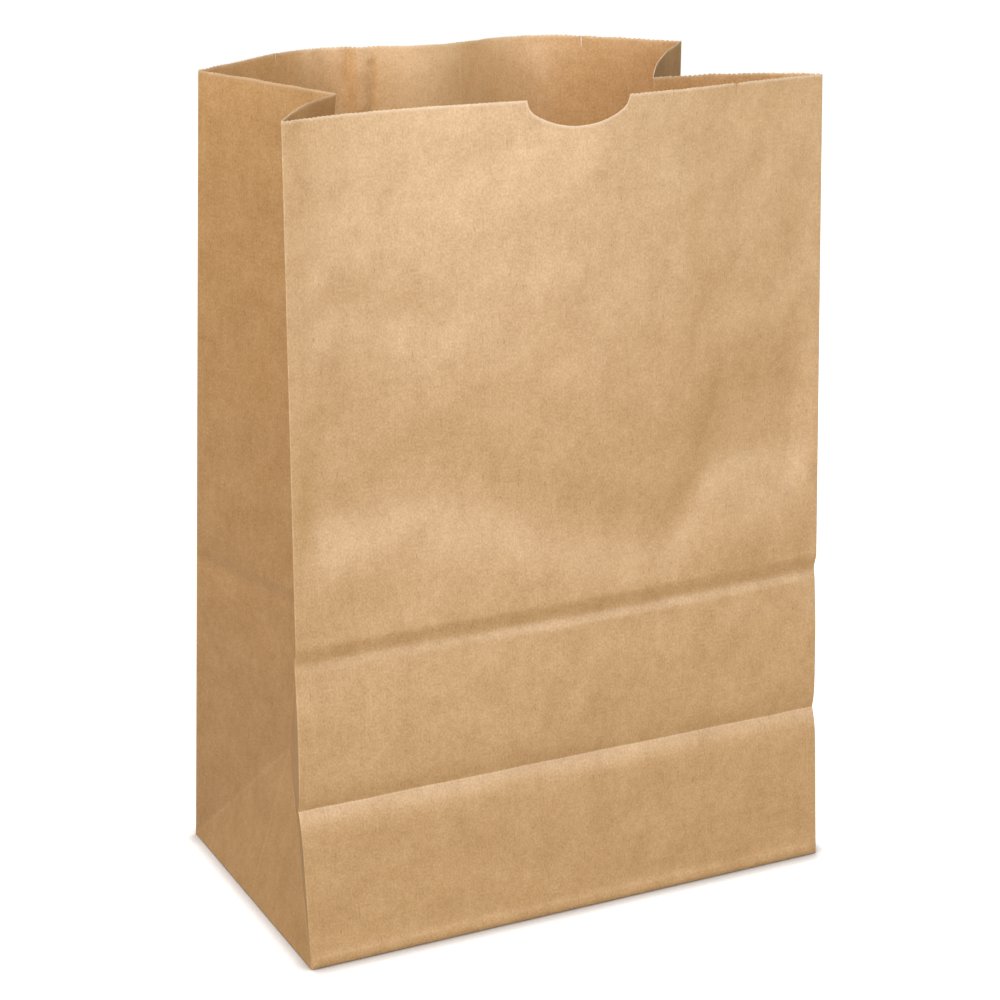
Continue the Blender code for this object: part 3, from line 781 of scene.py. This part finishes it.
def build_tuck(run, turn_x, turn_y, start):
    """A corner of a long flap, folded under at 45 degrees between it and the side flap: a triangular grid.

    Its parameters are the distance in from the side's fold, and the share of it that goes in from the
    panel's fold.
    """
    ins, shares = divide([1 * MM, FLAP - 0.5 * MM], TUCK_CELL), divide([0.01, 0.99], TUCK_SHARE)
    index = start + np.arange(len(ins) * len(shares)).reshape(len(ins), len(shares))
    along, share = np.repeat(ins, len(shares)), np.tile(shares, len(ins))
    x = turn_x * (WIDTH / 2 - along)
    y = turn_y * (HALF_SIDE - along * share - PAPER)
    points = np.stack([x, y, TUCK_LEVEL + floor_lift(x, y)], 1)
    u = WIDTH - along * share if turn_x > 0 else along * share
    entry, end = RUNS[run][1:]
    course = RUN_START[run] + (u - entry) * np.sign(end - entry)
    triangles = grid_triangles(index, True)
    if turn_x * turn_y > 0:
        triangles = triangles[:, ::-1]
    return points, course, -along, 0 * u, triangles


def crinkled(course, height):
    """Where the paper is finely crinkled, from 0 to 1: a bell high up beside the left front fold."""
    from_middle = (course - RUN_START[FRONT] - CRUSH_PLACE) / CRUSH_WIDTH
    return hill(from_middle) * smooth((height - CRUSH_FROM) / CRUSH_EASE) * (run_of(course) == FRONT)


def wear_highlight_and_shade(course, height):
    """How far each point's paper is paler from wear and painted highlights, and where negative, darker from
    painted shade, from 1 to -1.

    Folds and the seam's free edge are pale over 0.8 mm to each side: partly wear, and partly a painted
    highlight where the edge catches light. The side panels' middle creases, flattened below the folds at 45
    degrees, are still pale over 2 mm. A line of painted shadow lies beside the seam's edge, and a line of
    painted shade along the sharp wrinkles, 0.1 mm narrower than they are.
    """
    run = run_of(course)
    u, h = across(course) / MM, height / MM
    to_fold = np.minimum(from_fold(course, height), np.where(height > 0, course, 1.0))
    side = np.isin(run, SIDE_RUNS) & (height > 0) & (height < HALF_SIDE)
    # Folds and the seam's free edge: partly wear, partly a painted highlight where they catch light
    pale = np.where(side, 0.5, 1.0) * smooth(1 - to_fold / FOLD_WEAR_AND_HIGHLIGHT)
    old_crease = np.where(side, smooth(1 - np.abs(HALF_SIDE - across(course)) / CREASE_WEAR), 0.0)
    # Painted shadow of the gap beside the seam's free edge
    beside_seam = (COURSE - SEAM_LAP - course) / SEAM_SHADE
    seam_shade = np.where((beside_seam >= 0) & (height > 0), 0.5 * smooth(1 - beside_seam), 0.0)
    # Painted shade in the valleys of the sharp wrinkles
    lines = [(start, end, width - 0.1, 1.0) for start, end, width, _ in SHARP_WRINKLES]
    wrinkle_shade = np.where(run == INNER_BACK, ridges(u, h, lines), 0.0)
    return pale + 0.25 * old_crease - seam_shade - wrinkle_shade


def laid_double_and_painted_light(course):
    """Where the seam is paler, from 0 to 1, with smooth steps for edges: where its two plies lie on each
    other, and beyond the lap a painted paler patch that stands in for light on the inside of the back panel.
    """
    # Past the lap on either ply the paper is painted paler, as light on the inside of the back panel
    inner = smooth((PALE_INNER_END - course) / PALE_INNER_EASE)
    outer = 0.9 * smooth((course - (COURSE - SEAM_LAP - PALE_OUTER_START)) / PALE_OUTER_EASE)
    return inner + outer


def sharp_edges(mesh, course, height):
    """Which edges turn sharply: free edges, which have one face, the side folds at 45 degrees, the crease."""
    ends = np.empty(2 * len(mesh.edges), int)
    mesh.edges.foreach_get("vertices", ends)
    first, second = ends.reshape(-1, 2).T
    sides = np.empty(len(mesh.loops), int)
    mesh.loops.foreach_get("edge_index", sides)
    free = np.bincount(sides, minlength=len(mesh.edges)) == 1
    run = run_of((course[first] + course[second]) / 2)
    on_slant = np.abs(height - across(course)) < 1e-6
    on_crease = np.abs(height - HALF_SIDE) < 1e-6
    slants = np.isin(run, SIDE_RUNS) & on_slant[first] & on_slant[second]
    return free | slants | ((run == FRONT) & on_crease[first] & on_crease[second])


def build_sheet(material):
    """The whole bag: wall, bottom flaps and tucks in one mesh, with its sheet places as its map."""
    *wall, columns, foot = build_wall()
    parts = [wall]
    count = len(wall[0])
    for run in range(len(RUNS)):
        parts.append(build_flap(run, columns, foot, count))
        count += len(parts[-1][0])
    for run, turn_x, turn_y in ((FRONT, -1, -1), (FRONT, 1, -1), (INNER_BACK, -1, 1), (OUTER_BACK, 1, 1)):
        parts.append(build_tuck(run, turn_x, turn_y, count))
        count += len(parts[-1][0])
    points, course, height, cut, triangles = (np.concatenate(arrays) for arrays in zip(*parts))

    mesh = bpy.data.meshes.new("bag_sheet")
    mesh.from_pydata(points, [], triangles)
    mesh.materials.append(material)
    sheet = np.stack([course, height], 1)[triangles.ravel()]
    mesh.uv_layers.new(name="sheet").data.foreach_set("uv", sheet.ravel())
    attributes = {"cut": cut, "wear_highlight_and_shade": wear_highlight_and_shade(course, height), "crinkled": crinkled(course, height),
                  "double_ply_and_painted_light": laid_double_and_painted_light(course)}
    for name, values in attributes.items():
        mesh.attributes.new(name, "FLOAT", "POINT").data.foreach_set("value", values)
    mesh.polygons.foreach_set("use_smooth", np.ones(len(triangles), bool))
    sharp = sharp_edges(mesh, course, height)
    mesh.attributes.new("sharp_edge", "BOOLEAN", "EDGE").data.foreach_set("value", sharp)

    bag = bpy.data.objects.new("bag_sheet", mesh)
    bpy.context.scene.collection.objects.link(bag)
    ply = bag.modifiers.new("ply", "SOLIDIFY")
    ply.thickness = PAPER
    ply.offset = -1.0
    return bag


def linear(hex_colour):
    """sRGB hex to linear RGBA: c / 12.92 below 0.04045, else ((c + 0.055) / 1.055) to the power 2.4."""
    c = np.array([int(hex_colour[k:k + 2], 16) for k in (1, 3, 5)]) / 255
    return (*np.where(c <= 0.04045, c / 12.92, ((c + 0.055) / 1.055) ** 2.4), 1.0)


def add_node(tree, kind, inputs=None, **settings):
    """Adds a node with its settings. An input takes a value, a socket, or a node for its first output."""
    made = tree.nodes.new(kind)
    for name, value in settings.items():
        setattr(made, name, value)
    for key, value in (inputs or {}).items():
        if isinstance(value, bpy.types.Node):
            value = value.outputs[0]
        if isinstance(value, bpy.types.NodeSocket):
            tree.links.new(value, made.inputs[key])
        else:
            made.inputs[key].default_value = value
    return made


def paper_patterns(tree, sheet):
    """The paper's patterns by name: noise on the sheet, each scaled to its feature's width and length."""
    patterns = {}
    for name, (size, stretch, detail, roughness, _) in PATTERNS.items():
        scale = (1 / size, 1 / size / stretch, 1)
        scaled = add_node(tree, "ShaderNodeMapping", {"Vector": sheet, "Scale": scale})
        inputs = {"Vector": scaled, "Scale": 1.0, "Detail": detail, "Roughness": roughness}
        patterns[name] = add_node(tree, "ShaderNodeTexNoise", inputs, noise_dimensions="2D").outputs["Fac"]
    return patterns


def paper_tone(tree, patterns):
    """The paper's colour before fibres and edges.

    The tone is a half, more or less by each pattern's own strength, more where folds and edges are pale from
    wear and painted highlights, less where shade is painted, and more where the paper lies doubled, and where
    it is painted paler as light on the inside of the back panel. It runs from dark to pale brown.
    """
    tone = 0.5
    for name, (*_, strength) in PATTERNS.items():
        centred = add_node(tree, "ShaderNodeMath", {0: patterns[name], 1: 0.5}, operation="SUBTRACT")
        tone = add_node(tree, "ShaderNodeMath", {0: centred, 1: strength, 2: tone}, operation="MULTIPLY_ADD")
    for name, strength in PALER.items():
        share = add_node(tree, "ShaderNodeAttribute", attribute_name=name).outputs["Fac"]
        tone = add_node(tree, "ShaderNodeMath", {0: share, 1: strength, 2: tone}, operation="MULTIPLY_ADD")
    ramp = add_node(tree, "ShaderNodeValToRGB", {"Fac": tone})
    ramp.color_ramp.elements[0].color = linear(PAPER_DARK)
    ramp.color_ramp.elements[1].color = linear(PAPER_PALE)
    middle = ramp.color_ramp.elements.new(0.5)
    middle.color = linear(PAPER_MIDDLE)
    return ramp.outputs["Color"]


def dark_fibres(tree, sheet, paper):
    """Sparse dark fibres over a paper colour, in three directions: the middles of cells five times as long.

    They are about 2 mm long, and drawn about 0.4 mm wide, which is twice what they are.
    """
    for turn, size in FIBRE_LAYERS:
        laid = add_node(tree, "ShaderNodeMapping", {"Vector": sheet, "Rotation": (0, 0, math.radians(turn)),
                                                    "Scale": (1 / size, 1 / size / 5, 1)})
        inputs = {"Vector": laid, "Scale": 1.0}
        middle = add_node(tree, "ShaderNodeTexVoronoi", inputs, voronoi_dimensions="2D").outputs["Distance"]
        fibre = add_node(tree, "ShaderNodeMath", {0: middle, 1: FIBRE_REACH}, operation="LESS_THAN")
        share = add_node(tree, "ShaderNodeMath", {0: fibre, 1: 0.35}, operation="MULTIPLY")
        colours = {0: share, 6: paper, 7: linear(FIBRE_COLOUR)}
        paper = add_node(tree, "ShaderNodeMix", colours, data_type="RGBA").outputs[2]
    return paper


def raw_edge_and_highlight(tree, paper):
    """The pale rim of the cut over a paper colour, by the power 1.5 of how near the cut is: partly the raw
    fibres, and partly a painted highlight where the edge catches light.
    """
    cut = add_node(tree, "ShaderNodeAttribute", attribute_name="cut").outputs["Fac"]
    near = add_node(tree, "ShaderNodeMath", {0: cut, 1: 1.5}, operation="POWER")
    share = add_node(tree, "ShaderNodeMath", {0: near, 1: 0.75}, operation="MULTIPLY")
    colours = {0: share, 6: paper, 7: linear(EDGE_COLOUR)}
    return add_node(tree, "ShaderNodeMix", colours, data_type="RGBA").outputs[2]


def paper_bump(tree, sheet, patterns):
    """The paper's surface: its patterns, and slanting crinkles where it was crushed, as distorted waves."""
    turned = add_node(tree, "ShaderNodeMapping", {"Vector": sheet, "Rotation": (0, 0, math.radians(45)),
                                                  "Scale": (1 / CRINKLE_PITCH, 1 / CRINKLE_PITCH, 1)})
    inputs = {"Vector": turned, "Scale": 2 / math.tau, "Distortion": 3.0}
    waves = add_node(tree, "ShaderNodeTexWave", inputs, wave_type="BANDS", bands_direction="X").outputs["Fac"]
    where = add_node(tree, "ShaderNodeAttribute", attribute_name="crinkled").outputs["Fac"]
    crinkles = add_node(tree, "ShaderNodeMath", {0: waves, 1: where}, operation="MULTIPLY")
    height = add_node(tree, "ShaderNodeMath", {0: crinkles, 1: 0.45}, operation="MULTIPLY")
    for name, share in RAISED.items():
        inputs = {0: patterns[name], 1: share, 2: height}
        height = add_node(tree, "ShaderNodeMath", inputs, operation="MULTIPLY_ADD")
    bump = add_node(tree, "ShaderNodeBump", {"Height": height, "Distance": 0.08 * MM, "Strength": 1.0})
    return bump.outputs["Normal"]


def kraft_paper():
    """Unbleached kraft paper, machine finished, neither coated nor dyed.

    It gives the eye a matt light brown with a soft bloom of gloss, clouds of denser and thinner fibre, a fine
    grain that runs up the bag as the web ran through the machine, and sparse dark fibres.
    """
    material = bpy.data.materials.new("unbleached_kraft_paper")
    material.use_nodes = True
    tree = material.node_tree
    shader = tree.nodes["Principled BSDF"]
    sheet = add_node(tree, "ShaderNodeUVMap", uv_map="sheet").outputs["UV"]
    patterns = paper_patterns(tree, sheet)
    colour = raw_edge_and_highlight(tree, dark_fibres(tree, sheet, paper_tone(tree, patterns)))
    tree.links.new(colour, shader.inputs["Base Color"])
    tree.links.new(paper_bump(tree, sheet, patterns), shader.inputs["Normal"])
    # The machine's rolls press the web smooth, so slopes that face a lamp are pale with gloss
    shader.inputs["Roughness"].default_value = 0.45
    shader.inputs["IOR"].default_value = 1.6
    shader.inputs["Specular IOR Level"].default_value = 1.0
    return material


def white_floor_paint():
    """Matt white paint of a studio floor.

    The camera sees it at full white, less the bag's shadow and a painted contact shadow close round its foot,
    which is the cube of how open each place is. The bag is lit by it as by a grey one.
    """
    paint = bpy.data.materials.new("matt_white_floor_paint")
    paint.use_nodes = True
    tree = paint.node_tree
    shader = tree.nodes["Principled BSDF"]
    shader.inputs["Base Color"].default_value = linear(FLOOR_COLOUR)
    shader.inputs["Roughness"].default_value = 0.9
    shader.inputs["Specular IOR Level"].default_value = 0.0
    shader.inputs["Emission Color"].default_value = (1, 1, 1, 1)
    # Painted contact shadow: the white that the camera sees falls off close round the bag's foot
    near_foot = add_node(tree, "ShaderNodeAmbientOcclusion", {"Distance": CONTACT_REACH}, samples=5)
    open_share = add_node(tree, "ShaderNodeMath", {0: near_foot.outputs["AO"], 1: 3.0}, operation="POWER")
    to_camera = add_node(tree, "ShaderNodeLightPath").outputs["Is Camera Ray"]
    white = add_node(tree, "ShaderNodeMath", {0: open_share, 1: to_camera}, operation="MULTIPLY")
    tree.links.new(white.outputs[0], shader.inputs["Emission Strength"])
    return paint


def studio_floor():
    """A flat square floor round the bag: its corners are the reach, with both signs, each way."""
    mesh = bpy.data.meshes.new("studio_floor")
    corners = [(x * FLOOR_REACH, y * FLOOR_REACH, 0) for x, y in ((-1, -1), (1, -1), (1, 1), (-1, 1))]
    mesh.from_pydata(corners, [], [(0, 1, 2, 3)])
    mesh.materials.append(white_floor_paint())
    floor = bpy.data.objects.new("studio_floor", mesh)
    bpy.context.scene.collection.objects.link(floor)
    return floor


def softbox(name, location, size, power, colour):
    """A studio softbox of that width and height at a place, turned to the bag's middle."""
    lamp = bpy.data.objects.new(name, bpy.data.lights.new(name, "AREA"))
    lamp.data.shape = "RECTANGLE"
    lamp.data.size, lamp.data.size_y = size
    lamp.data.energy = power
    lamp.data.color = linear(colour)[:3]
    lamp.location = location
    lamp.rotation_euler = (mathutils.Vector(LAMP_AIM) - lamp.location).to_track_quat("-Z", "Y").to_euler()
    bpy.context.scene.collection.objects.link(lamp)


def white_room():
    """The world: white to the camera, and a dim even light on the bag."""
    world = bpy.data.worlds.new("white_room")
    bpy.context.scene.world = world
    world.use_nodes = True
    tree = world.node_tree
    background = tree.nodes["Background"]
    background.inputs["Color"].default_value = (1, 1, 1, 1)
    to_camera = add_node(tree, "ShaderNodeLightPath").outputs["Is Camera Ray"]
    strength = add_node(tree, "ShaderNodeMath", {0: to_camera, 1: ROOM_LIGHT}, operation="MAXIMUM")
    tree.links.new(strength.outputs[0], background.inputs["Strength"])


def photo_camera():
    """The photograph's camera, from the front and a little from the left, looking down."""
    camera = bpy.data.objects.new("camera", bpy.data.cameras.new("camera"))
    camera.data.lens = CAMERA_LENS
    camera.data.sensor_width = CAMERA_FRAME
    camera.data.shift_x, camera.data.shift_y = CAMERA_SHIFT
    camera.location = CAMERA_PLACE
    camera.rotation_euler = (math.pi / 2 - CAMERA_DOWN, 0, CAMERA_TURN)
    bpy.context.scene.collection.objects.link(camera)
    bpy.context.scene.camera = camera
    bpy.context.scene.view_settings.view_transform = "Standard"


def main():
    """The bag in place of the solid, then the floor, the lamps, the room and the camera."""
    bag = build_sheet(kraft_paper())
    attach(bag, "root")
    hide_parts("paper_bag")
    studio_floor()
    for name, lamp in SOFTBOXES.items():
        softbox(name, *lamp)
    white_room()
    photo_camera()


main()
